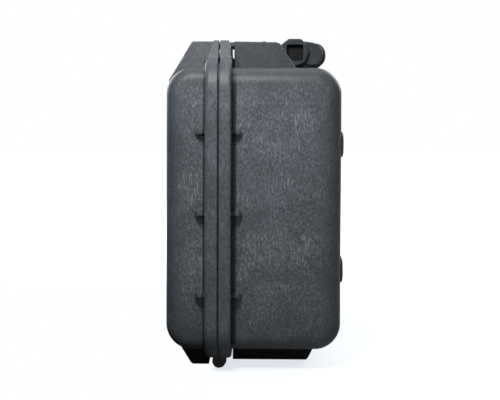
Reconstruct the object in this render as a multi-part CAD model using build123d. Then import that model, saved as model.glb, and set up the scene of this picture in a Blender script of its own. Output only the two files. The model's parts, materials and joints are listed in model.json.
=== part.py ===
from build123d import *
import os

# Hard-shell battery box standing on its hinge side. Millimetres, Z up.
# X runs from the lid face (-X) to the base face (+X), Y along the length, floor at z = 0.

# ---- driving dimensions -------------------------------------------------
WALL = 4.0
PART_X = -34.45            # parting plane between lid and base
PART_GAP = 1.6             # daylight between the two flange faces
LID_FACE_X = -85.0
BASE_FACE_X = 82.6
BODY_HALF_Y = 189.0
BODY_Z0, BODY_Z1 = 20.5, 291.5
CORNER_R = 25.0            # body edges that run along the length
END_R_BASE, END_R_LID = 15.0, 12.0

FLANGE_HALF_Y = 203.0
FLANGE_Z0, FLANGE_Z1 = 10.5, 305.5
FLANGE_R = 36.0
LID_FLANGE_BACK = -47.6
BASE_FLANGE_BACK = -22.3

EAR_TIP_Z = 317.5
EAR_Y = (152.0, 158.0, 178.0, 186.0)
PADLOCK_Y, PADLOCK_Z = 168.0, 308.3
EYELET_R, EYELET_BORE = 5.0, 4.0

GUARD_Y = (95.0, 151.0)    # inner faces start of each latch guard wall, |y|
GUARD_T = 4.0
GUARD_TOP = 318.3
SIGHT_X, SIGHT_Z, SIGHT_R = -50.2, 297.5, 1.75

GUSSET_Z = (230.0, 153.0, 76.0)
GUSSET_T, GUSSET_L = 8.4, 10.0

BUMP_Z, BUMP_Y = (96.0, 218.0), 150.0
BUMP_LEN_Z, BUMP_LEN_Y, BUMP_H = 25.0, 52.0, 2.4

HINGE_Z, HINGE_R, HINGE_PIN_R = 7.0, 6.6, 2.5
KNUCKLES_BASE = ((108.0, 128.6), (150.0, 171.0))
KNUCKLE_LID = (129.0, 149.6)
RUN_FIT = 0.06

STAND_X = (-22.1, 62.6, 53.5)  # base stand: start, top end, floor end
STAND_Y = (92.0, 136.0)
STAND_SCREW_X, STAND_SCREW_Y = (4.0, 29.0), 114.0
WING_Y = (118.0, 155.0)
WING_SCREW_X, WING_SCREW_Y = -54.5, 136.5
SCREW_R, SCREW_HEAD_R, SCREW_HEAD_H = 2.0, 4.0, 2.2

LATCH_PIVOT = (-12.0, 308.5)
LATCH_PIN_R = 2.0
LATCH_Y = (100.0, 150.0)

HANDLE_PIVOT = (41.0, 313.0)
HANDLE_PIN_R = 3.0
LUG_Y = (44.0, 57.6)
ARM_Y = (58.0, 75.0)
POCKET = (32.4, 50.2, 304.5, 321.9, 8.5)            # x0, x1, z0, z1, depth
GRIP_C = (62.6, 311.8)
GRIP_W, GRIP_H, GRIP_HALF_Y = 25.0, 26.0, 57.5
CORE_W, CORE_H = 12.0, 15.0

SEAL_HALF_Y, SEAL_Z0, SEAL_Z1, SEAL_R = 193.5, 16.6, 296.0, 18.0
GROOVE_W, GROOVE_D = 5.0, 4.0
TONGUE_W, TONGUE_H = 2.0, 2.4

VALVE_X = 12.0
BOSS_Y, BOSS_Z, BOSS_R = (-141.0, 63.0), 120.0, 7.0
BAR_X = (-18.0, -14.0)
CRADLE_X0 = -28.0
BATTERY_BAY = (66.0, -132.0, 54.0, 34.0, 206.0)     # floor x, y0, y1, z0, z1
ACCESSORY_BAY = (50.0, 74.0, 172.0, 34.0, 206.0)
LEAD_BAY = (40.0, -172.0, 172.0, 218.0, 270.0)
FAR = 200.0                                         # past every wall of the liner

# foam boards bonded into the base: x0, x1, y0, y1, z0, z1
BAY_FLOOR = BATTERY_BAY[0]
END_Y = LEAD_BAY[2]
LINER = {
    "liner_floor": (BAY_FLOOR, FAR, -FAR, FAR, 0, 400),
    "liner_bottom": (-FAR, BAY_FLOOR, -FAR, FAR, 0, BATTERY_BAY[3]),
    "liner_top": (-FAR, BAY_FLOOR, -FAR, FAR, LEAD_BAY[4], 400),
    "liner_end_right": (-FAR, BAY_FLOOR, -FAR, -END_Y, BATTERY_BAY[3], LEAD_BAY[4]),
    "liner_end_left": (-FAR, BAY_FLOOR, END_Y, FAR, BATTERY_BAY[3], LEAD_BAY[4]),
    "liner_shelf": (-FAR, BAY_FLOOR, -END_Y, END_Y, BATTERY_BAY[4], LEAD_BAY[3]),
    "liner_block": (-FAR, BAY_FLOOR, -END_Y, BATTERY_BAY[1], BATTERY_BAY[3], BATTERY_BAY[4]),
    "liner_divider": (-FAR, BAY_FLOOR, BATTERY_BAY[2], ACCESSORY_BAY[1], BATTERY_BAY[3], BATTERY_BAY[4]),
    "accessory_floor": (ACCESSORY_BAY[0], BAY_FLOOR, ACCESSORY_BAY[1], END_Y, BATTERY_BAY[3], BATTERY_BAY[4]),
    "lead_floor": (LEAD_BAY[0], BAY_FLOOR, -END_Y, END_Y, LEAD_BAY[3], LEAD_BAY[4]),
}

LID_IN = PART_X - PART_GAP / 2
BASE_IN = PART_X + PART_GAP / 2


# ---- small helpers ------------------------------------------------------
def block(x0, x1, y0, y1, z0, z1):
    size = (abs(x1 - x0), abs(y1 - y0), abs(z1 - z0))
    return Pos((x0 + x1) / 2, (y0 + y1) / 2, (z0 + z1) / 2) * Box(*size)


def rod_y(x, z, r, y0, y1):
    return Pos(x, (y0 + y1) / 2, z) * Rot(90, 0, 0) * Cylinder(r, abs(y1 - y0))


def rod_x(y, z, r, x0, x1):
    return Pos((x0 + x1) / 2, y, z) * Rot(0, 90, 0) * Cylinder(r, abs(x1 - x0))


def rod_z(x, y, r, z0, z1):
    return Pos(x, y, (z0 + z1) / 2) * Cylinder(r, abs(z1 - z0))


def prism_y(points, y0, y1):
    plane = Plane(origin=(0, max(y0, y1), 0), x_dir=(1, 0, 0), z_dir=(0, -1, 0))
    face = plane * make_face(Polyline(*points, close=True))
    return extrude(face, amount=abs(y1 - y0), dir=(0, -1, 0))


def prism_x(points, x0, x1):
    plane = Plane(origin=(min(x0, x1), 0, 0), x_dir=(0, 1, 0), z_dir=(1, 0, 0))
    face = plane * make_face(Polyline(*points, close=True))
    return extrude(face, amount=abs(x1 - x0), dir=(1, 0, 0))


def plate_yz(half_y, z0, z1, radius, x0, x1):
    plane = Plane(origin=(x0, 0, (z0 + z1) / 2), x_dir=(0, 1, 0), z_dir=(1, 0, 0))
    return extrude(plane * RectangleRounded(2 * half_y, z1 - z0, radius), amount=x1 - x0, dir=(1, 0, 0))


def ring_yz(half_y, z0, z1, radius, width, x0, x1):
    w = width / 2
    outer = plate_yz(half_y + w, z0 - w, z1 + w, radius + w, x0, x1)
    return outer - plate_yz(half_y - w, z0 + w, z1 - w, radius - w, x0 - 1, x1 + 1)


def mirrored(shape):
    return [shape, mirror(shape, about=Plane.XZ)]


def group(solids):
    flat = []
    for s in solids:
        flat += list(s.solids())
    return Compound(children=flat)


def body_block(x_open, x_face, half_y, z0, z1, corner_r, end_r):
    body = block(x_open, x_face, -half_y, half_y, z0, z1)
    rims = [e for e in body.edges().filter_by(Axis.Y) if abs(e.center().X - x_face) < 0.01]
    body = fillet(rims, corner_r)
    ends = [e for e in body.edges()
            if abs(abs(e.center().Y) - half_y) < 0.01 and abs(e.center().X - x_open) > 0.5]
    return fillet(ends, end_r)


def flange_plate(x_back, x_part, edge_back, edge_part):
    x0, x1 = min(x_back, x_part), max(x_back, x_part)
    plate = plate_yz(FLANGE_HALF_Y, FLANGE_Z0, FLANGE_Z1, FLANGE_R, x0, x1)
    back = [e for e in plate.edges() if abs(e.center().X - x_back) < 0.01]
    plate = fillet(back, edge_back)
    front = [e for e in plate.edges() if abs(e.center().X - x_part) < 0.01]
    return fillet(front, edge_part)


def soften(shape, radius, keep):
    """Rounds the edges whose centre passes the test."""
    return fillet([e for e in shape.edges() if keep(e.center())], radius)


def ear(x_back, x_part):
    """Padlock ear on the front flange, before the flange taper is cut."""
    y0, y1, y2, y3 = EAR_Y
    outline = prism_x([(y0, 285), (y0, 303), (y1, EAR_TIP_Z), (y2, EAR_TIP_Z), (y3, 300), (y3, 285)],
                      min(x_back, x_part), max(x_back, x_part))
    corners = [e for e in outline.edges().filter_by(Axis.X) if e.center().Z > EAR_TIP_Z - 1]
    return fillet(corners, 3.0)


def front_taper(root_x, tip_x, away):
    """Wedge cut from the outer face of the front flange, outboard of the latch guards."""
    slope = (tip_x - root_x) / (EAR_TIP_Z - BODY_Z1)
    top = EAR_TIP_Z + 12
    return prism_y([(root_x, BODY_Z1), (root_x + slope * (top - BODY_Z1), top), (away, top), (away, BODY_Z1)],
                   GUARD_Y[1] + GUARD_T + 0.1, FLANGE_HALF_Y + 5)


def guard_wall(outline, y):
    wall = prism_y(outline, y, y + GUARD_T)
    return soften(wall, 0.9, lambda c: c.Z > BODY_Z1 + 1 and min(abs(c.Y - y), abs(c.Y - y - GUARD_T)) < 0.01)


def gusset(x_flange, direction, z):
    tip = x_flange + direction * GUSSET_L
    mid = x_flange + direction * GUSSET_L * 0.62
    root = x_flange - direction * 1.0
    h = GUSSET_T / 2
    ogive = prism_y([(root, z - h), (mid, z - h * 0.86), (tip - direction * 1.2, z - h * 0.4), (tip, z),
                     (tip - direction * 1.2, z + h * 0.4), (mid, z + h * 0.86), (root, z + h)],
                    BODY_HALF_Y - 2, FLANGE_HALF_Y)
    plane = Plane(origin=(0, 0, z - h), x_dir=(1, 0, 0), z_dir=(0, 0, 1))
    wedge = make_face(Polyline((root, BODY_HALF_Y - 2), (root, FLANGE_HALF_Y - 1.5),
                               (x_flange, FLANGE_HALF_Y - 1.8), (mid, BODY_HALF_Y + 9),
                               (tip, BODY_HALF_Y + 3.5), (tip, BODY_HALF_Y - 2), close=True))
    roof = prism_x([(BODY_HALF_Y - 2, z - h), (FLANGE_HALF_Y, z - 0.6), (FLANGE_HALF_Y, z + 0.6),
                    (BODY_HALF_Y - 2, z + h)], min(root, tip) - 1, max(root, tip) + 1)
    return ogive & roof & extrude(plane * wedge, amount=GUSSET_T, dir=(0, 0, 1))


def ribbed_foot(outline, y0, y1, x_ribs, floor_cut, screws, screw_y):
    """Moulded stand: side cheeks, end walls and cross ribs round pockets open to the floor."""
    foot = prism_y(outline, y0, y1)
    for a, b in zip(x_ribs[:-1], x_ribs[1:]):
        foot -= block(a + 1.75, b - 1.75, y0 + 3.5, y1 - 3.5, -1, floor_cut)
    for x in screws:
        foot += rod_z(x, screw_y, 4.5, 5.0, floor_cut + 1)
        foot -= rod_z(x, screw_y, SCREW_R, 7.0, 40.0)
    return foot


def stand_screw(x, y, z_tip):
    head_z = BODY_Z0 + WALL
    return rod_z(x, y, SCREW_R, z_tip, head_z + 0.1) + rod_z(x, y, SCREW_HEAD_R, head_z + 0.02,
                                                             head_z + SCREW_HEAD_H)


# ---- base half ----------------------------------------------------------
def base_shell():
    """Deep tub with the hold-down bosses, the valve hole and the stand screw holes."""
    body = base_body()
    body -= body_block(BASE_IN - 3, BASE_FACE_X - WALL, BODY_HALF_Y - WALL, BODY_Z0 + WALL, BODY_Z1 - WALL,
                       CORNER_R - WALL, END_R_BASE - WALL)
    for y in BOSS_Y:
        body += rod_x(y, BOSS_Z, BOSS_R, BAR_X[1], BASE_FACE_X - WALL + 1)
        body -= rod_x(y, BOSS_Z, 4.0, BAR_X[1] - 1, BAR_X[1] + 14)
    for side in (1, -1):
        for x in STAND_SCREW_X:
            body -= rod_z(x, side * STAND_SCREW_Y, SCREW_R, BODY_Z0 - 1, BODY_Z0 + WALL + 1)
    return body - rod_z(VALVE_X, 0, 6.0, BODY_Z1 - WALL - 2, BODY_Z1 + 2)


def base_flange():
    """Flange ring round the tub's mouth, with its tongue, ears, gussets and hinge knuckles."""
    ring = flange_plate(BASE_FLANGE_BACK, BASE_IN, 2.8, 0.8)
    for side in (1, -1):
        parts = [ear(BASE_FLANGE_BACK, BASE_IN)]
        for z in GUSSET_Z:
            parts.append(gusset(BASE_FLANGE_BACK, 1, z))
        for a, b in KNUCKLES_BASE:
            parts.append(rod_y(PART_X, HINGE_Z, HINGE_R, a, b))
            parts.append(block(BASE_IN, -27.6, a, b, 5.0, 13.0))
        for p in parts:
            ring += p if side == 1 else mirror(p, about=Plane.XZ)
    ring += ring_yz(SEAL_HALF_Y, SEAL_Z0, SEAL_Z1, SEAL_R, TONGUE_W, BASE_IN - TONGUE_H, BASE_IN + 1)
    ring -= base_body()
    for side in (1, -1):
        y0, y1 = KNUCKLE_LID
        ring -= rod_y(PART_X, HINGE_Z, HINGE_R + 0.5, *sorted((side * (y0 - 0.4), side * (y1 + 0.4))))
        y0, y1 = KNUCKLES_BASE[0][0], KNUCKLES_BASE[-1][1]
        ring -= rod_y(PART_X, HINGE_Z, HINGE_PIN_R, *sorted((side * (y0 + 3), side * (y1 - 3))))
        taper = front_taper(-21.5, -25.6, -10)
        ring -= taper if side == 1 else mirror(taper, about=Plane.XZ)
        ring -= rod_x(side * PADLOCK_Y, PADLOCK_Z, EYELET_R, BASE_IN - 5, 0)
    return ring


def latch_guards():
    """Walls either side of each latch, with the blind seats of the latch pins."""
    walls = []
    for y in GUARD_Y:
        wall = guard_wall([(-21.0, 288), (-21.0, GUARD_TOP), (20.5, GUARD_TOP - 0.6),
                           (23.8, GUARD_TOP - 2.0), (40.5, 291), (40.5, 288)], y)
        wall -= base_body()
        wall -= rod_y(LATCH_PIVOT[0], LATCH_PIVOT[1], LATCH_PIN_R, GUARD_Y[0] - 1, GUARD_Y[1] + GUARD_T - 1)
        walls += mirrored(wall)
    return group(walls)


def handle_lugs():
    px, pz = HANDLE_PIVOT
    lug = prism_y([(24, 288), (33.0, pz), (49.0, pz), (53.5, 288)], *LUG_Y)
    lug += rod_y(px, pz, 8.0, *LUG_Y)
    lug -= rod_y(px, pz, HANDLE_PIN_R, LUG_Y[0] + 3, LUG_Y[1] + 1)
    return group(mirrored(lug - base_body()))


def back_bumpers():
    """Four low pads moulded on the tub's floor face, which the box lies on when laid flat."""
    pads = []
    for z in BUMP_Z:
        bump = plate_yz(BUMP_LEN_Y / 2, z - BUMP_LEN_Z / 2, z + BUMP_LEN_Z / 2, 11.5,
                        BASE_FACE_X - 1, BASE_FACE_X + BUMP_H)
        rim = [e for e in bump.edges() if e.center().X > BASE_FACE_X + BUMP_H - 0.01]
        pads += mirrored(Pos(0, BUMP_Y, 0) * fillet(rim, 1.6) - base_body())
    return group(pads)


def padlock_eyelets_base():
    tube = rod_x(PADLOCK_Y, PADLOCK_Z, EYELET_R, BASE_IN + 0.1, -24.3)
    tube -= rod_x(PADLOCK_Y, PADLOCK_Z, EYELET_BORE, BASE_IN - 1, 0)
    return group(mirrored(tube))


def base_body():
    return body_block(BASE_IN, BASE_FACE_X, BODY_HALF_Y, BODY_Z0, BODY_Z1, CORNER_R, END_R_BASE)


def base_stand():
    x0, x1, x2 = STAND_X
    outline = [(x0, 26), (x0, 0), (x2 - 2, 0), (x2, 1.5), (x1, 19.5), (x1, 26)]
    foot = ribbed_foot(outline, *STAND_Y, (x0 + 1.75, 4, 29, 50), 17.0, STAND_SCREW_X, STAND_SCREW_Y)
    return foot - base_body()


def stand_screws_base():
    screws = [stand_screw(x, side * STAND_SCREW_Y, 7.5) for side in (1, -1) for x in STAND_SCREW_X]
    return group(screws)


def lid_body():
    return body_block(LID_IN, LID_FACE_X, BODY_HALF_Y, BODY_Z0, BODY_Z1, CORNER_R, END_R_LID)


def lid_stand():
    outline = [(-48.0, 30), (-48.0, 10), (-45.0, 7), (-45.0, 0), (-61.0, 0), (-63.0, 1.5), (-73.8, 19), (-73.8, 30)]
    foot = ribbed_foot(outline, *WING_Y, (-64.2, -48.0), 15.0, (WING_SCREW_X,), WING_SCREW_Y)
    return foot - lid_body()


def stand_screws_lid():
    return group([stand_screw(WING_SCREW_X, side * WING_SCREW_Y, 7.5) for side in (1, -1)])


def hinge_pins():
    pin = rod_y(PART_X, HINGE_Z, HINGE_PIN_R, KNUCKLES_BASE[0][0] + 3.2, KNUCKLES_BASE[-1][1] - 3.2)
    return group(mirrored(chamfer(pin.edges(), 0.5)))


# ---- lid half -----------------------------------------------------------
def lid_shell():
    body = lid_body()
    body += flange_plate(LID_FLANGE_BACK, LID_IN, 4.5, 0.8)
    for side in (1, -1):
        parts = [ear(LID_FLANGE_BACK, LID_IN)]
        for z in GUSSET_Z:
            parts.append(gusset(LID_FLANGE_BACK, -1, z))
        for y in GUARD_Y:
            parts.append(guard_wall([(-42.0, 285), (-42.0, GUARD_TOP), (-61.2, GUARD_TOP), (-63.0, GUARD_TOP - 1),
                                     (LID_FACE_X, 280.5), (LID_FACE_X, 262)], y))
        y0, y1 = KNUCKLE_LID
        parts.append(rod_y(PART_X, HINGE_Z, HINGE_R, y0, y1))
        parts.append(block(-41.3, LID_IN, y0, y1, 6.0, 13.0))
        for p in parts:
            body += p if side == 1 else mirror(p, about=Plane.XZ)
    body -= body_block(LID_IN + 3, LID_FACE_X + WALL, BODY_HALF_Y - WALL, BODY_Z0 + WALL, BODY_Z1 - WALL,
                       CORNER_R - WALL, END_R_LID - WALL)
    body -= ring_yz(SEAL_HALF_Y, SEAL_Z0, SEAL_Z1, SEAL_R, GROOVE_W, LID_IN - GROOVE_D, LID_IN + 1)
    body -= rod_y(SIGHT_X, SIGHT_Z, SIGHT_R, -170, 170)
    for side in (1, -1):
        taper = front_taper(-48.1, -39.9, -62)
        body -= taper if side == 1 else mirror(taper, about=Plane.XZ)
        body -= rod_x(side * PADLOCK_Y, PADLOCK_Z, EYELET_R, -60, LID_IN + 5)
        body -= rod_z(WING_SCREW_X, side * WING_SCREW_Y, SCREW_R, BODY_Z0 - 1, BODY_Z0 + WALL + 1)
        for a, b in KNUCKLES_BASE:
            body -= rod_y(PART_X, HINGE_Z, HINGE_R + 0.5, *sorted((side * (a - 0.4), side * (b + 0.4))))
        y0, y1 = KNUCKLES_BASE[0][0], KNUCKLES_BASE[-1][1]
        body -= rod_y(PART_X, HINGE_Z, HINGE_PIN_R + RUN_FIT, *sorted((side * y0, side * y1)))
    return body


def padlock_eyelets_lid():
    tube = rod_x(PADLOCK_Y, PADLOCK_Z, EYELET_R, -41.0, LID_IN - 0.1)
    tube -= rod_x(PADLOCK_Y, PADLOCK_Z, EYELET_BORE, -60, 0)
    return group(mirrored(tube))


def lid_gasket():
    x0 = LID_IN - GROOVE_D
    ring = ring_yz(SEAL_HALF_Y, SEAL_Z0, SEAL_Z1, SEAL_R, GROOVE_W - 0.4, x0, BASE_IN - TONGUE_H - 0.1)
    return ring


# ---- latches ------------------------------------------------------------
def latch(y0, y1):
    bx, bz = LATCH_PIVOT
    body = prism_y([(-52.3, 301.5), (-51.3, 300.4), (-48.0, 300.4), (-48.0, 310.5), (-45.7, 314.2), (6.0, 314.2),
                    (9.0, 315.2), (9.8, 318.4), (8.8, 319.0), (4.0, 317.9), (-48.6, 317.9), (-51.3, 316.4),
                    (-52.3, 313.6)], y0, y1)
    body += rod_y(bx, bz, 5.2, y0, y1)
    body += block(bx - 3.6, bx + 3.6, y0, y1, bz, 315.0)
    body -= block(bx - 6, bx + 6, y0 + 14, y1 - 14, bz - 6, 314.1)
    body -= rod_y(bx, bz, LATCH_PIN_R + RUN_FIT, y0 - 1, y1 + 1)
    return body


def latch_pins():
    pin = rod_y(LATCH_PIVOT[0], LATCH_PIVOT[1], LATCH_PIN_R, GUARD_Y[0] + 0.5, GUARD_Y[1] + GUARD_T - 1.2)
    return group(mirrored(chamfer(pin.edges(), 0.4)))


# ---- carry handle -------------------------------------------------------
def handle_arm():
    px, pz = HANDLE_PIVOT
    y0, y1 = ARM_Y
    hub = prism_y([(25.0, 301.5), (25.0, 320.5), (34.5, 328.0), (48.5, 328.0), (57.3, 315.5), (52.6, 303.0),
                   (43.5, 299.0), (31.0, 299.0)], y0, y1)
    hub = fillet(hub.edges().filter_by(Axis.Y), 3.5)
    hub = fillet([e for e in hub.edges() if abs(e.center().Y - y1) < 0.01], 2.0)
    shoulder = prism_y([(46.0, 326.6), (62.0, 324.4), (69.4, 319.5), (71.6, 312.5), (70.0, 304.5), (65.3, 300.4),
                        (56.0, 300.0), (46.0, 301.8)], y0, y1 - 6.0)
    shoulder = fillet([e for e in shoulder.edges().filter_by(Axis.Y) if e.center().X > 57], 3.5)
    shoulder = fillet([e for e in shoulder.edges() if abs(e.center().Y - y1 + 6.0) < 0.01 and e.center().X > 48], 2.0)
    arm = hub + shoulder
    x0, x1, z0, z1, depth = POCKET
    pocket = block(x0, x1, y1 - depth, y1 + 1, z0, z1)
    arm -= fillet(pocket.edges().filter_by(Axis.Y), 2.0)
    return arm - rod_y(px, pz, HANDLE_PIN_R + RUN_FIT, y0 - 1, y1 - depth - 1.0)


def handle_frame():
    arm = handle_arm()
    frame = arm + mirror(arm, about=Plane.XZ)
    cx, cz = GRIP_C
    frame += block(cx - CORE_W / 2, cx + CORE_W / 2, -ARM_Y[0] - 1, ARM_Y[0] + 1, cz - CORE_H / 2, cz + CORE_H / 2)
    return frame


def handle_grip():
    cx, cz = GRIP_C
    plane = Plane(origin=(cx, GRIP_HALF_Y, cz), x_dir=(1, 0, 0), z_dir=(0, -1, 0))
    sleeve = extrude(plane * RectangleRounded(GRIP_W, GRIP_H, 11.5), amount=2 * GRIP_HALF_Y, dir=(0, -1, 0))
    ends = [e for e in sleeve.edges() if abs(abs(e.center().Y) - GRIP_HALF_Y) < 0.01]
    sleeve = fillet(ends, 3.0)
    return sleeve - block(cx - CORE_W / 2, cx + CORE_W / 2, -80, 80, cz - CORE_H / 2, cz + CORE_H / 2)


def handle_pins():
    px, pz = HANDLE_PIVOT
    pin = rod_y(px, pz, HANDLE_PIN_R, LUG_Y[0] + 3.2, ARM_Y[1] - POCKET[4] - 1.2)
    return group(mirrored(pin))


# ---- pressure valve -----------------------------------------------------
def valve_body():
    z = BODY_Z1
    body = rod_z(VALVE_X, 0, 13.0, z + 1.0, z + 4.6)
    body = chamfer(body.edges().group_by(Axis.Z)[-1], 0.8)
    body += rod_z(VALVE_X, 0, 9.0, z + 0.05, z + 1.5)
    body += rod_z(VALVE_X, 0, 5.9, z - 12.0, z + 2)
    body -= rod_z(VALVE_X, 0, 8.0, z + 3.4, z + 8)
    body -= rod_z(VALVE_X, 0, 2.2, z - 20, z + 8)
    return body


def valve_membrane():
    return rod_z(VALVE_X, 0, 7.9, BODY_Z1 + 3.4, BODY_Z1 + 3.9)


def valve_seal():
    z = BODY_Z1
    return rod_z(VALVE_X, 0, 12.0, z + 0.02, z + 0.98) - rod_z(VALVE_X, 0, 9.2, z - 2, z + 3)


def valve_nut():
    z = BODY_Z1 - WALL
    hexagon = Plane(origin=(VALVE_X, 0, z - 5.0)) * RegularPolygon(10.0, 6)
    return extrude(hexagon, amount=4.95) - rod_z(VALVE_X, 0, 5.95, z - 9, z + 3)


# ---- interior -----------------------------------------------------------
def liner_blank():
    """Outer shape that all the foam boards together fill, 0.4 mm clear of the shell."""
    return body_block(CRADLE_X0, BASE_FACE_X - WALL - 0.3, BODY_HALF_Y - WALL - 0.4, BODY_Z0 + WALL + 0.4,
                      BODY_Z1 - WALL - 0.4, CORNER_R - WALL, END_R_BASE - WALL)


def liner_board(x0, x1, y0, y1, z0, z1):
    """One bonded foam board, cut to clear the shell's screw bosses, the hold-down bar and the valve nut."""
    board = liner_blank() & block(x0, x1, y0, y1, z0, z1)
    if z0 < BOSS_Z < z1:
        for y in BOSS_Y:
            if y0 < y < y1:
                board -= rod_x(y, BOSS_Z, BOSS_R + 0.3, -40, 90)
                if x0 < BAR_X[1]:
                    board -= block(CRADLE_X0 - 1, BAR_X[1] + 0.1, BOSS_Y[0] - 12, BOSS_Y[1] + 12,
                                   BOSS_Z - 14, BOSS_Z + 14)
    if z0 <= 0 and x0 < STAND_SCREW_X[0]:
        for x in STAND_SCREW_X:
            for y in (-STAND_SCREW_Y, STAND_SCREW_Y):
                board -= rod_z(x, y, SCREW_HEAD_R + 0.5, 0, BODY_Z0 + WALL + SCREW_HEAD_H + 0.5)
    if z1 > BODY_Z1 - WALL - 6 and x0 < VALVE_X < x1 and y0 < 0 < y1:
        board -= rod_z(VALVE_X, 0, 13.0, BODY_Z1 - WALL - 12.5, BODY_Z1)
    return board


def bay_pad():
    floor_x, y0, y1, z0, z1 = BATTERY_BAY
    pad = block(floor_x - 3, floor_x, y0 + 0.5, y1 - 0.5, z0 + 0.5, z1 - 0.5)
    return fillet(pad.edges().filter_by(Axis.X), 5.5)


def holddown_bar():
    bar = block(BAR_X[0], BAR_X[1], BOSS_Y[0] - 11, BOSS_Y[1] + 11, BOSS_Z - 12.5, BOSS_Z + 12.5)
    bar = fillet(bar.edges().filter_by(Axis.X), 6.0)
    for y in BOSS_Y:
        bar -= rod_x(y, BOSS_Z, 3.0, BAR_X[0] - 1, BAR_X[1] + 1)
    return bar


def holddown_knobs():
    knobs = []
    for y in BOSS_Y:
        head = rod_x(y, BOSS_Z, 9.0, BAR_X[0] - 10, BAR_X[0])
        for k in range(8):
            head -= Pos(0, y, BOSS_Z) * Rot(45 * k, 0, 0) * Pos(0, 10.0, 0) * rod_x(0, 0, 2.0, BAR_X[0] - 11, BAR_X[0] - 2.5)
        knobs.append(head + rod_x(y, BOSS_Z, 2.5, BAR_X[0] - 1, BAR_X[1] + 10))
    return group(knobs)


def boss_inserts():
    inserts = []
    for y in BOSS_Y:
        inserts.append(rod_x(y, BOSS_Z, 4.0, BAR_X[1] + 0.2, BAR_X[1] + 12) - rod_x(y, BOSS_Z, 2.5, -30, 20))
    return group(inserts)


def lid_foam():
    foam = body_block(-40.0, LID_FACE_X + WALL + 0.3, BODY_HALF_Y - WALL - 0.4, BODY_Z0 + WALL + 0.4,
                      BODY_Z1 - WALL - 0.4, CORNER_R - WALL, END_R_LID - WALL)
    rim = [e for e in foam.edges() if abs(e.center().X + 40.0) < 0.01]
    foam = chamfer(rim, 2.0)
    for y in (-WING_SCREW_Y, WING_SCREW_Y):
        foam -= rod_z(WING_SCREW_X, y, SCREW_HEAD_R + 0.5, 0, BODY_Z0 + WALL + SCREW_HEAD_H + 0.5)
    return foam


NODES = {
    "base_shell": base_shell,
    "base_flange": base_flange,
    "latch_guards": latch_guards,
    "handle_lugs": handle_lugs,
    "back_bumpers": back_bumpers,
    "lid_shell": lid_shell,
    "lid_gasket": lid_gasket,
    "hinge_pins": hinge_pins,
    "latch_right": lambda: latch(-LATCH_Y[1], -LATCH_Y[0]),
    "latch_left": lambda: latch(LATCH_Y[0], LATCH_Y[1]),
    "latch_pins": latch_pins,
    "handle_frame": handle_frame,
    "handle_grip": handle_grip,
    "handle_pins": handle_pins,
    "valve_body": valve_body,
    "valve_membrane": valve_membrane,
    "valve_seal": valve_seal,
    "valve_nut": valve_nut,
    "base_stand_left": base_stand,
    "base_stand_right": lambda: mirror(base_stand(), about=Plane.XZ),
    "stand_screws_base": stand_screws_base,
    "lid_stand_left": lid_stand,
    "lid_stand_right": lambda: mirror(lid_stand(), about=Plane.XZ),
    "stand_screws_lid": stand_screws_lid,
    "padlock_eyelets_base": padlock_eyelets_base,
    "padlock_eyelets_lid": padlock_eyelets_lid,
    "bay_pad": bay_pad,
    "holddown_bar": holddown_bar,
    "holddown_knobs": holddown_knobs,
    "boss_inserts": boss_inserts,
    "lid_foam": lid_foam,
}

os.makedirs("parts", exist_ok=True)
for name, maker in NODES.items():
    export_step(maker(), "parts/" + name + ".step")
for name, extent in LINER.items():
    export_step(liner_board(*extent), "parts/" + name + ".step")
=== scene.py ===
import bpy
import bmesh
import json
import math
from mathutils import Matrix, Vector, noise


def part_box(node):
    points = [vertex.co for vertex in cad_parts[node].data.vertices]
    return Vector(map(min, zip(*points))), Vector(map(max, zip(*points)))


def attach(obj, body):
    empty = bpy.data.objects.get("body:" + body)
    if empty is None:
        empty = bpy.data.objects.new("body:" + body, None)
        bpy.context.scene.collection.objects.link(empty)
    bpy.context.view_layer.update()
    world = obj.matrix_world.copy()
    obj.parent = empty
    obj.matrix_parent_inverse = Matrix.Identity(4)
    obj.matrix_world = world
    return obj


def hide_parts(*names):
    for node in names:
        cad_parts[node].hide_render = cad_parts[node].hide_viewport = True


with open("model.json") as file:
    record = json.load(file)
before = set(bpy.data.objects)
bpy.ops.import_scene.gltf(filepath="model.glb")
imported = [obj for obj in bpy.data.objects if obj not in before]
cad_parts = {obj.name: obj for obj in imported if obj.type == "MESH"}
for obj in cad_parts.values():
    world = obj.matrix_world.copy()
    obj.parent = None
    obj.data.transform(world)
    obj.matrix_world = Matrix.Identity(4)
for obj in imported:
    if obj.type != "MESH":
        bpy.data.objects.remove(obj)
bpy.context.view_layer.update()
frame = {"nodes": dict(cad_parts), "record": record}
nodes = frame["nodes"]


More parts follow.
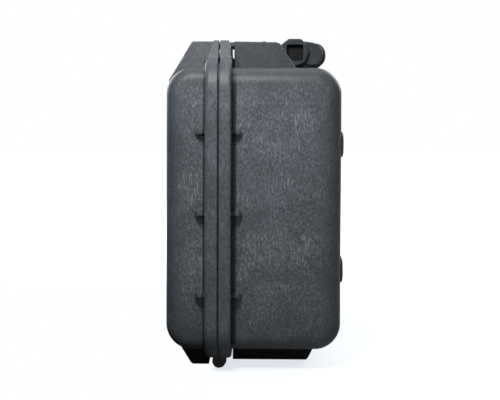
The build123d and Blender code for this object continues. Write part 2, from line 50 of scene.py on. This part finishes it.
# ---- node helpers -------------------------------------------------------
class Maker:
    """A short way to write one procedural material."""

    def __init__(self, name, colour, roughness, metallic=0.0, specular=0.5):
        self.mat = bpy.data.materials.new(name)
        self.mat.use_nodes = True
        self.mat.diffuse_color = (*colour, 1)
        self.tree = self.mat.node_tree
        self.bsdf = self.tree.nodes["Principled BSDF"]
        self.bsdf.inputs["Base Color"].default_value = (*colour, 1)
        self.bsdf.inputs["Roughness"].default_value = roughness
        self.bsdf.inputs["Metallic"].default_value = metallic
        self.bsdf.inputs["Specular IOR Level"].default_value = specular
        self.coords = self.tree.nodes.new("ShaderNodeTexCoord").outputs["Object"]

    def node(self, kind, **values):
        n = self.tree.nodes.new(kind)
        for key, value in values.items():
            setattr(n, key, value)
        return n

    def link(self, a, b):
        self.tree.links.new(a, b)

    def mapping(self, scale=(1, 1, 1), rotation=(0, 0, 0), offset=(0, 0, 0)):
        m = self.node("ShaderNodeMapping")
        m.inputs["Scale"].default_value = scale
        m.inputs["Rotation"].default_value = rotation
        m.inputs["Location"].default_value = offset
        self.link(self.coords, m.inputs["Vector"])
        return m.outputs["Vector"]

    def noise(self, scale, detail=3.0, rough=0.5, vector=None):
        n = self.node("ShaderNodeTexNoise")
        n.inputs["Scale"].default_value = scale
        n.inputs["Detail"].default_value = detail
        n.inputs["Roughness"].default_value = rough
        self.link(vector or self.coords, n.inputs["Vector"])
        return n.outputs["Fac"]

    def ramp(self, value, low, high):
        """0 below low, 1 above high, with a smooth step between."""
        r = self.node("ShaderNodeMapRange", interpolation_type="SMOOTHSTEP")
        r.inputs["From Min"].default_value = low
        r.inputs["From Max"].default_value = high
        self.link(value, r.inputs["Value"])
        return r.outputs["Result"]

    def math(self, operation, *values):
        m = self.node("ShaderNodeMath", operation=operation)
        for socket, value in zip(m.inputs, values):
            if isinstance(value, (int, float)):
                socket.default_value = value
            else:
                self.link(value, socket)
        return m.outputs[0]

    def times(self, a, b):
        return self.math("MULTIPLY", a, b)

    def invert(self, value):
        return self.math("SUBTRACT", 1.0, value)

    def band(self, value, rise, fall):
        """0, then 1 from the rise to the fall, then 0 again."""
        return self.times(self.ramp(value, *rise), self.invert(self.ramp(value, *fall)))

    def axes(self):
        """The x, y and z of the object's own coordinates."""
        split = self.node("ShaderNodeSeparateXYZ")
        self.link(self.coords, split.inputs[0])
        return split.outputs

    def mix(self, factor, a, b):
        m = self.node("ShaderNodeMix", data_type="RGBA")
        self.link(factor, m.inputs[0])
        for socket, value in zip((m.inputs[6], m.inputs[7]), (a, b)):
            if isinstance(value, tuple):
                socket.default_value = (*value, 1)
            else:
                self.link(value, socket)
        return m.outputs[2]

    def colour(self, value):
        self.link(value, self.bsdf.inputs["Base Color"])

    def roughness(self, value, low, high):
        r = self.node("ShaderNodeMapRange")
        r.inputs["To Min"].default_value = low
        r.inputs["To Max"].default_value = high
        self.link(value, r.inputs["Value"])
        self.link(r.outputs["Result"], self.bsdf.inputs["Roughness"])

    def bump(self, height, distance, strength=1.0):
        b = self.node("ShaderNodeBump")
        b.inputs["Strength"].default_value = strength
        b.inputs["Distance"].default_value = distance
        self.link(height, b.inputs["Height"])
        self.link(b.outputs["Normal"], self.bsdf.inputs["Normal"])


def tint(colour, factor):
    return tuple(min(1.0, c * factor) for c in colour)


# ---- materials ----------------------------------------------------------
SHELL = (0.0490, 0.0565, 0.0645)
RUBBED = (0.27, 0.29, 0.315)
POCKET_SHADE = (0.004, 0.0045, 0.0045)

# Zones of the shell, in metres in the shared frame at rest: where each begins and ends.
FLANGE_RISE, FLANGE_FALL = (-0.0495, -0.0475), (-0.0215, -0.0195)
WORN_X_RISE, WORN_X_FALL = (-0.079, -0.062), (0.050, 0.074)
WORN_Z_RISE, WORN_Z_FALL = (0.022, 0.075), (0.262, 0.290)
BODY_TOP_FALL = (0.2915, 0.2935)
FLANGE_SHADE_X = ((-0.0222, -0.0165), (-0.0477, -0.0500))   # painted shade: strongest at the first, gone at the second
FLANGE_SHADE_WALL_RISE = (0.1855, 0.1865)
POCKET_X, POCKET_HALF_Y, POCKET_Z = (0.0321, 0.0505), 0.0747, (0.3042, 0.3222)

# How strong each effect is, from 0 to 1.
LEAST_WEAR = 0.25
FLANGE_SPARED = 0.6
ROUNDING_SHADE_DEPTH = 0.5
FLANGE_SHADE_DEPTH = 0.92
FLECK_STRENGTH = 0.5
MARK_STRENGTH = 0.30


def shell_zones(m):
    """How rubbed the shell is, and the roundings outside the rubbed faces, where painted shade goes."""
    x, _, z = m.axes()
    flange = m.band(x, FLANGE_RISE, FLANGE_FALL)
    worn = m.times(m.band(x, WORN_X_RISE, WORN_X_FALL), m.band(z, WORN_Z_RISE, WORN_Z_FALL))
    rounding_shade = m.times(m.invert(worn), m.invert(m.ramp(z, *BODY_TOP_FALL)))
    rounding_shade = m.times(rounding_shade, m.invert(flange))
    rubbed = m.math("MULTIPLY_ADD", worn, 1.0 - LEAST_WEAR, LEAST_WEAR)
    rubbed = m.times(rubbed, m.invert(m.times(flange, FLANGE_SPARED)))
    return rubbed, rounding_shade


def rub_marks(m, rubbed, scuffs, seed):
    """Pale strokes, upright and leaning, in patches, with small flecks between them."""
    upright = m.noise(1.0, 2.5, 0.6, m.mapping(scale=(820, 820, 150), offset=(seed, 0, 0)))
    leaning = m.noise(1.0, 2.5, 0.6, m.mapping(scale=(760, 760, 150), rotation=(0, 0.62, 0),
                                               offset=(0, 0, seed)))
    fleck = m.noise(1.0, 2.0, 0.6, m.mapping(scale=(900, 900, 520), offset=(0, 0, seed)))
    patches = m.ramp(m.noise(34.0, 2.0, 0.5, m.mapping(offset=(seed, seed, 3))), 0.40, 0.60)
    strokes = m.math("MAXIMUM", m.ramp(upright, 0.52, 0.66), m.ramp(leaning, 0.54, 0.68))
    flecks = m.times(m.ramp(fleck, 0.6, 0.75), FLECK_STRENGTH)
    marks = m.math("MAXIMUM", m.times(strokes, patches), flecks)
    return m.times(m.times(marks, rubbed), MARK_STRENGTH * scuffs)


def painted_flange_shade(m):
    """Painted shade on the end walls on both sides of the flanges, one mask for each side."""
    x, y, _ = m.axes()
    wall = m.ramp(m.math("ABSOLUTE", y), *FLANGE_SHADE_WALL_RISE)
    lines = []
    for start, end in FLANGE_SHADE_X:
        reach = abs(end - start)
        distance = m.math("ABSOLUTE", m.math("SUBTRACT", x, start))
        line = m.invert(m.ramp(distance, reach * 0.55, reach))
        beside = m.math("GREATER_THAN" if end > start else "LESS_THAN", x, start)
        lines.append(m.times(m.times(line, wall), m.times(beside, FLANGE_SHADE_DEPTH)))
    return lines


def shell_maker(name, base, scuffs, seed, specular=0.25):
    """Moulded charcoal plastic: mottled tone, pale rubbed strokes in patches, fine grain, and painted shade
    on the roundings and beside the flanges.
    """
    m = Maker(name, base, 0.5, specular=specular)
    rubbed, rounding_shade = shell_zones(m)
    cloud = m.noise(26.0, 4.0, 0.6, m.mapping(offset=(seed, 0, 0)))
    mottle = m.noise(1.0, 4.0, 0.68, m.mapping(scale=(560, 560, 340), offset=(0, seed, 0)))
    tone = m.mix(m.ramp(cloud, 0.34, 0.66), tint(base, 0.82), tint(base, 1.16))
    tone = m.mix(m.invert(m.ramp(mottle, 0.40, 0.50)), tone, tint(base, 0.66))
    tone = m.mix(m.times(m.ramp(mottle, 0.51, 0.66), rubbed), tone, tint(base, 1.9))
    # painted shade: the roundings made darker
    tone = m.mix(m.times(rounding_shade, ROUNDING_SHADE_DEPTH), tone, tint(base, 0.45))
    marks = rub_marks(m, rubbed, scuffs, seed)
    # painted shade beside the flanges: the tone goes almost black and the rub marks are taken out there
    for flange_shade in painted_flange_shade(m):
        tone = m.mix(flange_shade, tone, tint(base, 0.04))
        marks = m.times(marks, m.invert(flange_shade))
    m.colour(m.mix(marks, tone, RUBBED))
    m.roughness(m.math("ADD", marks, m.times(cloud, 0.4)), 0.42, 0.74)
    grain = m.noise(2600.0, 2.0, 0.6)
    wave = m.noise(260.0, 3.0, 0.5)
    m.bump(m.math("ADD", m.times(grain, 0.35), m.times(wave, 0.65)), 0.00022, 0.7)
    return m


def handle_plastic():
    """Darker plastic, with painted shade making the blind pocket in each arm nearly black."""
    m = shell_maker("handle_plastic", tint(SHELL, 0.62), 0.5, 9.0, specular=0.1)
    x, y, z = m.axes()
    inside = m.math("LESS_THAN", m.math("ABSOLUTE", y), POCKET_HALF_Y)
    for value, (low, high) in ((x, POCKET_X), (z, POCKET_Z)):
        inside = m.times(inside, m.math("GREATER_THAN", value, low))
        inside = m.times(inside, m.math("LESS_THAN", value, high))
    plain = m.bsdf.inputs["Base Color"].links[0].from_socket
    # painted shade: the pocket's recess is coloured nearly black
    m.colour(m.mix(inside, plain, POCKET_SHADE))
    return m.mat


def grip_rubber():
    m = Maker("grip_rubber", (0.028, 0.031, 0.034), 0.68, specular=0.35)
    cloud = m.noise(60.0, 3.0)
    m.colour(m.mix(m.ramp(cloud, 0.35, 0.7), (0.022, 0.025, 0.028), (0.042, 0.046, 0.05)))
    m.roughness(cloud, 0.58, 0.8)
    m.bump(m.noise(1900.0, 2.0, 0.6), 0.0002, 0.6)
    return m.mat


def seal_rubber():
    m = Maker("seal_rubber", (0.012, 0.012, 0.013), 0.5)
    dust = m.ramp(m.noise(300.0, 3.0), 0.5, 0.75)
    m.colour(m.mix(m.times(dust, 0.35), (0.012, 0.012, 0.013), (0.05, 0.05, 0.05)))
    m.roughness(dust, 0.42, 0.65)
    m.bump(m.noise(900.0), 0.00008, 0.5)
    return m.mat


def turned_steel(name="pin_steel", base=(0.42, 0.43, 0.44)):
    m = Maker(name, base, 0.32, metallic=1.0)
    rings = m.noise(1.0, 2.0, 0.6, m.mapping(scale=(120, 2600, 120)))
    m.colour(m.mix(m.ramp(rings, 0.3, 0.7), tint(base, 0.82), tint(base, 1.15)))
    m.roughness(rings, 0.24, 0.42)
    m.bump(rings, 0.00003, 0.6)
    return m.mat


def bar_aluminium():
    m = Maker("bar_aluminium", (0.6, 0.61, 0.63), 0.35, metallic=1.0)
    brushed = m.noise(1.0, 3.0, 0.6, m.mapping(scale=(1500, 40, 1500)))
    m.colour(m.mix(brushed, (0.5, 0.51, 0.53), (0.72, 0.73, 0.75)))
    m.roughness(brushed, 0.28, 0.46)
    m.bump(brushed, 0.00003, 0.6)
    return m.mat


def insert_brass():
    m = Maker("insert_brass", (0.6, 0.43, 0.18), 0.3, metallic=1.0)
    worn = m.noise(500.0, 2.0)
    m.colour(m.mix(worn, (0.5, 0.34, 0.14), (0.7, 0.52, 0.24)))
    m.roughness(worn, 0.22, 0.42)
    m.bump(worn, 0.00003, 0.5)
    return m.mat


def foam_material():
    """Closed-cell foam: fine open cells on the cut faces."""
    m = Maker("cradle_foam", (0.016, 0.017, 0.018), 0.95, specular=0.2)
    cells = m.node("ShaderNodeTexVoronoi", feature="F1")
    cells.inputs["Scale"].default_value = 900.0
    m.link(m.coords, cells.inputs["Vector"])
    cell = m.ramp(cells.outputs["Distance"], 0.1, 0.7)
    cloud = m.noise(70.0, 3.0)
    tone = m.mix(m.ramp(cloud, 0.3, 0.7), (0.014, 0.015, 0.016), (0.028, 0.029, 0.031))
    m.colour(m.mix(m.times(cell, 0.5), tone, (0.008, 0.008, 0.009)))
    m.roughness(cloud, 0.88, 1.0)
    m.bump(cell, 0.0003, 0.7)
    return m.mat


def pad_rubber():
    m = Maker("pad_rubber", (0.018, 0.018, 0.019), 0.75, specular=0.3)
    m.colour(m.mix(m.noise(120.0, 3.0), (0.013, 0.013, 0.014), (0.03, 0.03, 0.031)))
    m.roughness(m.noise(200.0), 0.65, 0.85)
    m.bump(m.noise(1500.0), 0.00015, 0.5)
    return m.mat


def membrane():
    m = Maker("membrane", (0.62, 0.62, 0.60), 0.9)
    weave = m.node("ShaderNodeTexChecker")
    weave.inputs["Scale"].default_value = 2500.0
    m.link(m.coords, weave.inputs["Vector"])
    m.colour(m.mix(m.noise(400.0), (0.55, 0.55, 0.53), (0.7, 0.7, 0.68)))
    m.roughness(m.noise(300.0), 0.8, 0.95)
    m.bump(weave.outputs["Fac"], 0.00008, 0.5)
    return m.mat


def dark_plastic(name, base=(0.02, 0.021, 0.023)):
    m = Maker(name, base, 0.5, specular=0.22)
    cloud = m.noise(90.0, 3.0)
    m.colour(m.mix(m.ramp(cloud, 0.35, 0.7), tint(base, 0.8), tint(base, 1.4)))
    m.roughness(cloud, 0.38, 0.6)
    m.bump(m.noise(2200.0), 0.00012, 0.6)
    return m.mat


MATERIALS = {
    "shell_plastic": shell_maker("shell_plastic", SHELL, 1.0, 0.0).mat,
    "latch_plastic": shell_maker("latch_plastic", tint(SHELL, 0.8), 0.5, 5.0).mat,
    "handle_plastic": handle_plastic(),
    "grip_rubber": grip_rubber(),
    "seal_rubber": seal_rubber(),
    "pin_steel": turned_steel(),
    "eyelet_steel": turned_steel("eyelet_steel", (0.5, 0.5, 0.51)),
    "bar_aluminium": bar_aluminium(),
    "insert_brass": insert_brass(),
    "cradle_foam": foam_material(),
    "pad_rubber": pad_rubber(),
    "membrane": membrane(),
    "valve_plastic": dark_plastic("valve_plastic"),
    "knob_plastic": dark_plastic("knob_plastic", (0.016, 0.016, 0.017)),
    # dark plastic, darkened further as painted shade for the shadow under the box
    "stand_plastic": dark_plastic("stand_plastic", (0.007, 0.0074, 0.008)),
}
SLOTS = {part["node"]: part["material_slot"] for part in frame["record"]["subparts"]}


def dress(obj, slot):
    obj.data.materials.clear()
    obj.data.materials.append(MATERIALS[slot])


for name, obj in nodes.items():
    dress(obj, SLOTS[name])
# painted shade: the guards get the shell plastic at half tone, a shaded copy of it
nodes["latch_guards"].data.materials[0] = shell_maker("guard_plastic_shaded", tint(SHELL, 0.5), 0.6, 2.0).mat


# ---- soft pieces --------------------------------------------------------
FOAM_BOARDS = ("liner_floor", "liner_bottom", "liner_top", "liner_end_left", "liner_end_right", "liner_shelf",
               "liner_block", "liner_divider", "accessory_floor", "lead_floor")
VOXEL = 0.004
SAWN = ((0.0005, 55.0), (0.00025, 210.0))   # a sawn face's waves: height, and number per metre
CRATE_PITCH, CRATE_DEPTH = 0.034, 0.017
CRATE_BACK = 0.35                # share of the thickness that stays plain
CRATE_RIM, RIM_DROP = 0.012, 0.003
CRATE_WAVE = (0.0004, 90.0)
MAT_PITCH, MAT_RIB, MAT_RISE = 0.0062, 0.0034, 0.0013
MAT_MARGIN, MAT_SLOPE, MAT_EDGE = 0.004, 0.0005, 0.0003


def remeshed(name, piece, smoothing):
    """A copy of a CAD solid as one even, soft-edged skin of small faces."""
    work = bpy.data.objects.new(piece, nodes[name].data.copy())
    bpy.context.collection.objects.link(work)
    grid = work.modifiers.new("grid", "REMESH")
    grid.mode = "VOXEL"
    grid.voxel_size = VOXEL
    ease = work.modifiers.new("ease", "SMOOTH")
    ease.factor = 0.5
    ease.iterations = smoothing
    depsgraph = bpy.context.evaluated_depsgraph_get()
    mesh = bpy.data.meshes.new_from_object(work.evaluated_get(depsgraph))
    work.modifiers.clear()
    work.data = mesh
    mesh.name = piece
    for face in mesh.polygons:
        face.use_smooth = True
    return work


def keep_inside(obj, name):
    low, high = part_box(name)
    for v in obj.data.vertices:
        v.co = [min(max(c, a), b) for c, a, b in zip(v.co, low, high)]


def settle(obj, name, body, slot):
    """Dresses a soft piece and lets it stand for its CAD node."""
    dress(obj, slot)
    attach(obj, body)
    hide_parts(name)


def foam_board(name):
    """Cut foam: eased edges and the slight unevenness of a sawn face."""
    board = remeshed(name, "foam_" + name, 2)
    mesh = board.data
    normals = [v.normal.copy() for v in mesh.vertices]
    for v, n in zip(mesh.vertices, normals):
        v.co += n * sum(height * noise.noise(v.co * rate) for height, rate in SAWN)
    keep_inside(board, name)
    settle(board, name, "base", "cradle_foam")


def crate_height(y, z):
    """Egg-crate relief, 0 in a valley and 1 on a peak."""
    wave = math.cos(2 * math.pi * y / CRATE_PITCH) + math.cos(2 * math.pi * z / CRATE_PITCH)
    return 0.5 + 0.25 * wave


def lid_lining():
    """Convoluted foam in the lid: a plain back, and a face of rounded peaks."""
    pad = remeshed("lid_foam", "foam_lid", 3)
    low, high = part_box("lid_foam")
    back, face = low[0], high[0]
    middle = (low[1] + high[1]) / 2, (low[2] + high[2]) / 2
    for v in pad.data.vertices:
        depth = max(0.0, (v.co.x - back) / (face - back) - CRATE_BACK) / (1.0 - CRATE_BACK)
        rim = min(high[1] - v.co.y, v.co.y - low[1], high[2] - v.co.z, v.co.z - low[2])
        inside = min(1.0, max(0.0, rim / CRATE_RIM))
        drop = CRATE_DEPTH * (1.0 - crate_height(v.co.y - middle[0], v.co.z - middle[1]))
        v.co.x -= depth * (drop * inside + RIM_DROP * (1.0 - inside))
        v.co.x += CRATE_WAVE[0] * depth * noise.noise(v.co * CRATE_WAVE[1])
    keep_inside(pad, "lid_foam")
    settle(pad, "lid_foam", "lid", "cradle_foam")


def profile_solid(piece, outline, y0, y1):
    """Closed solid from an outline of (x, z) points, drawn along y."""
    bm = bmesh.new()
    ends = [[bm.verts.new((x, y, z)) for x, z in outline] for y in (y0, y1)]
    bm.faces.new(ends[0])
    bm.faces.new(reversed(ends[1]))
    count = len(outline)
    for i in range(count):
        j = (i + 1) % count
        bm.faces.new((ends[0][j], ends[0][i], ends[1][i], ends[1][j]))
    bmesh.ops.recalc_face_normals(bm, faces=bm.faces)
    mesh = bpy.data.meshes.new(piece)
    bm.to_mesh(mesh)
    bm.free()
    obj = bpy.data.objects.new(piece, mesh)
    bpy.context.collection.objects.link(obj)
    return obj


def bevelled(obj, width):
    edge = obj.modifiers.new("edge", "BEVEL")
    edge.width = width
    edge.segments = 1
    edge.limit_method = "ANGLE"
    edge.angle_limit = math.radians(25)


def ribbed_pad():
    """Non-slip mat under the battery: low round-edged ribs on a thin sheet."""
    low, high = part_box("bay_pad")
    back, crest = high[0], low[0]
    valley = crest + MAT_RISE
    count = int((high[2] - low[2] - MAT_MARGIN) // MAT_PITCH)
    start = (low[2] + high[2]) / 2 - count * MAT_PITCH / 2
    outline = [(back, high[2]), (back, low[2]), (valley, low[2])]
    for i in range(count):
        z = start + i * MAT_PITCH + (MAT_PITCH - MAT_RIB) / 2
        outline += [(valley, z), (crest, z + MAT_SLOPE)]
        outline += [(crest, z + MAT_RIB - MAT_SLOPE), (valley, z + MAT_RIB)]
    outline.append((valley, high[2]))
    mat = profile_solid("mat_ribbed", outline, low[1], high[1])
    bevelled(mat, MAT_EDGE)
    settle(mat, "bay_pad", "base", "pad_rubber")


for name in FOAM_BOARDS:
    foam_board(name)
lid_lining()
ribbed_pad()


# ---- stage --------------------------------------------------------------
AMBIENT = 0.035                  # light from the surround and the floor on the box
FLOOR_TONE = (0.30, 0.30, 0.30)
FLOOR_TINT = (0.90, 0.95, 1.0)
FLOOR_GLOW = 0.80
FLOOR_NEAR, FLOOR_FAR, FLOOR_LIFT = 0.20, 0.75, 0.35     # the glow rises by the lift between these
SWING_START, SWING_SIDE = (0.036, 0.044), (0.26, 0.34)   # where the lid's clear strip begins and ends
CAMERA_PLACE = (0.006, -1.0719, 0.2415)
CAMERA_TURN = (88.5, -0.22, 0.71)
CAMERA_LENS = 67.2
CAMERA_SHIFT = -0.1115
# name, place, what it points at, size, power
LIGHTS = (
    ("key", (-0.09, -0.52, 0.52), (0.01, -0.19, 0.26), (0.14, 0.14), 3.5),
    ("front", (0.12, -1.30, 0.60), (0, -0.19, 0.16), (0.4, 0.4), 1.2),
    ("overhead", (0.0, 0.1, 1.30), (0, 0, 0.3), (1.0, 1.0), 8.0),
    ("back", (0.9, 1.1, 0.9), (0, 0, 0.15), (0.9, 0.9), 26.0),
    ("back_left", (-1.0, 1.0, 0.8), (0, 0, 0.15), (0.9, 0.9), 24.0),
)


def seen_and_dim(tree, seen):
    """A strength that is the given value where it is seen, and AMBIENT where it lights the box."""
    ray = tree.nodes.new("ShaderNodeLightPath")
    strength = tree.nodes.new("ShaderNodeMapRange")
    strength.inputs["To Min"].default_value = AMBIENT
    strength.inputs["To Max"].default_value = seen
    tree.links.new(ray.outputs["Is Camera Ray"], strength.inputs["Value"])
    return strength.outputs["Result"]


def surround():
    """White all round."""
    scene = bpy.context.scene
    scene.view_settings.view_transform = "Standard"
    world = bpy.data.worlds.new("studio")
    scene.world = world
    world.use_nodes = True
    background = world.node_tree.nodes["Background"]
    background.inputs["Color"].default_value = (1.0, 1.0, 1.0, 1)
    world.node_tree.links.new(seen_and_dim(world.node_tree, 1.0), background.inputs["Strength"])


def floor_material():
    """Pale under the box so that a faint shadow shows, and white farther out."""
    m = Maker("floor", FLOOR_TONE, 0.8, specular=0.1)
    m.bsdf.inputs["Emission Color"].default_value = (*FLOOR_TINT, 1)
    away = m.node("ShaderNodeVectorMath", operation="LENGTH")
    m.link(m.coords, away.inputs[0])
    far = m.ramp(away.outputs["Value"], FLOOR_NEAR, FLOOR_FAR)
    glow = m.math("MULTIPLY_ADD", far, FLOOR_LIFT, seen_and_dim(m.tree, FLOOR_GLOW))
    m.link(glow, m.bsdf.inputs["Emission Strength"])
    # The box stands on its hinge side, so the open lid hangs below the floor: clear there.
    x, y, _ = m.axes()
    side = m.invert(m.ramp(m.math("ABSOLUTE", y), *SWING_SIDE))
    swing = m.times(m.ramp(m.times(x, -1.0), *SWING_START), side)
    m.link(m.invert(swing), m.bsdf.inputs["Alpha"])
    return m.mat


def studio():
    surround()
    bpy.ops.mesh.primitive_plane_add(size=12.0, location=(0, 0, -0.0004))
    floor = bpy.context.object
    floor.name = "floor"
    floor.data.materials.append(floor_material())


def area_light(name, place, aim, size, power):
    data = bpy.data.lights.new(name, "AREA")
    data.shape = "RECTANGLE"
    data.size, data.size_y = size
    data.energy = power
    lamp = bpy.data.objects.new(name, data)
    bpy.context.collection.objects.link(lamp)
    lamp.location = place
    lamp.rotation_euler = (Vector(aim) - Vector(place)).to_track_quat("-Z", "Y").to_euler()
    lamp.visible_camera = False


def camera():
    """Square to one short end, above its middle and turned slightly down."""
    data = bpy.data.cameras.new("camera")
    data.sensor_width = 36.0
    data.lens = CAMERA_LENS
    data.shift_y = CAMERA_SHIFT
    data.dof.use_dof = False
    cam = bpy.data.objects.new("camera", data)
    bpy.context.collection.objects.link(cam)
    cam.location = CAMERA_PLACE
    cam.rotation_euler = [math.radians(a) for a in CAMERA_TURN]
    bpy.context.scene.camera = cam


studio()
for lamp in LIGHTS:
    area_light(*lamp)
camera()
